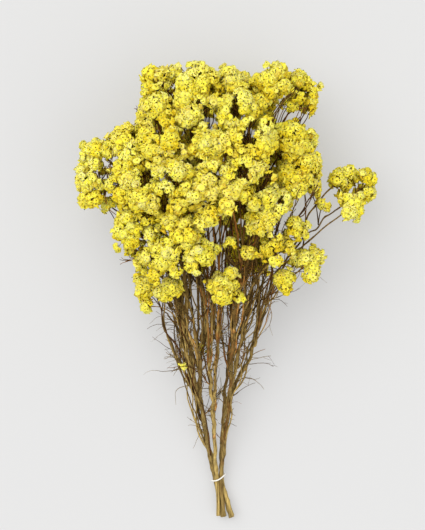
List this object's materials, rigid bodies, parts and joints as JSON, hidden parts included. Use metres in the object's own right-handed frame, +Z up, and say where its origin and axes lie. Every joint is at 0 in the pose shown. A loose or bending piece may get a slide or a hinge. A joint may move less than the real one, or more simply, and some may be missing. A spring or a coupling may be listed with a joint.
{
  "type": "tied bunch of dried statice",
  "caption": "Tied bunch of dried yellow statice lying on its side: forked woody stems, ruffled flower heads on the twig tips and a thin band above the cut ends.",
  "frame": {"origin": "middle of the bunch's bounding box, at the surface that it lies on", "axes": "+Y along the bunch from the cut ends to the flowers, +Z up from the surface, +X across it"},
  "size_m": [0.3558, 0.5466, 0.1737],
  "materials": {
    "stem": "dry matt bark, olive brown low down and dark brown at the twigs",
    "floret": "dry papery lemon-yellow petals",
    "band": "thin off-white elastic band"
  },
  "bodies": {
    "root": {"stem_1": "stem", "stem_2": "stem", "stem_3": "stem", "stem_4": "stem", "stem_5": "stem", "head_1_1": "floret", "head_1_2": "floret", "head_1_3": "floret", "head_1_4": "floret", "head_1_5": "floret", "head_1_6": "floret", "head_1_7": "floret", "head_1_8": "floret", "head_1_9": "floret", "head_1_10": "floret", "head_1_11": "floret", "head_2_1": "floret", "head_2_2": "floret", "head_2_3": "floret", "head_2_4": "floret", "head_2_5": "floret", "head_2_6": "floret", "head_2_7": "floret", "head_2_8": "floret", "head_2_9": "floret", "head_2_10": "floret", "head_2_11": "floret", "head_3_1": "floret", "head_3_2": "floret", "head_3_3": "floret", "head_3_4": "floret", "head_3_5": "floret", "head_3_6": "floret", "head_3_7": "floret", "head_3_8": "floret", "head_3_9": "floret", "head_3_10": "floret", "head_4_1": "floret", "head_4_2": "floret", "head_4_3": "floret", "head_4_4": "floret", "head_4_5": "floret", "head_4_6": "floret", "head_4_7": "floret", "head_4_8": "floret", "head_4_9": "floret", "head_4_10": "floret", "head_4_11": "floret", "head_5_1": "floret", "head_5_2": "floret", "head_5_3": "floret", "head_5_4": "floret", "head_5_5": "floret", "head_5_6": "floret", "head_5_7": "floret", "head_5_8": "floret", "head_5_9": "floret", "head_5_10": "floret", "head_5_11": "floret", "band": "band"}
  },
  "joints": []
}
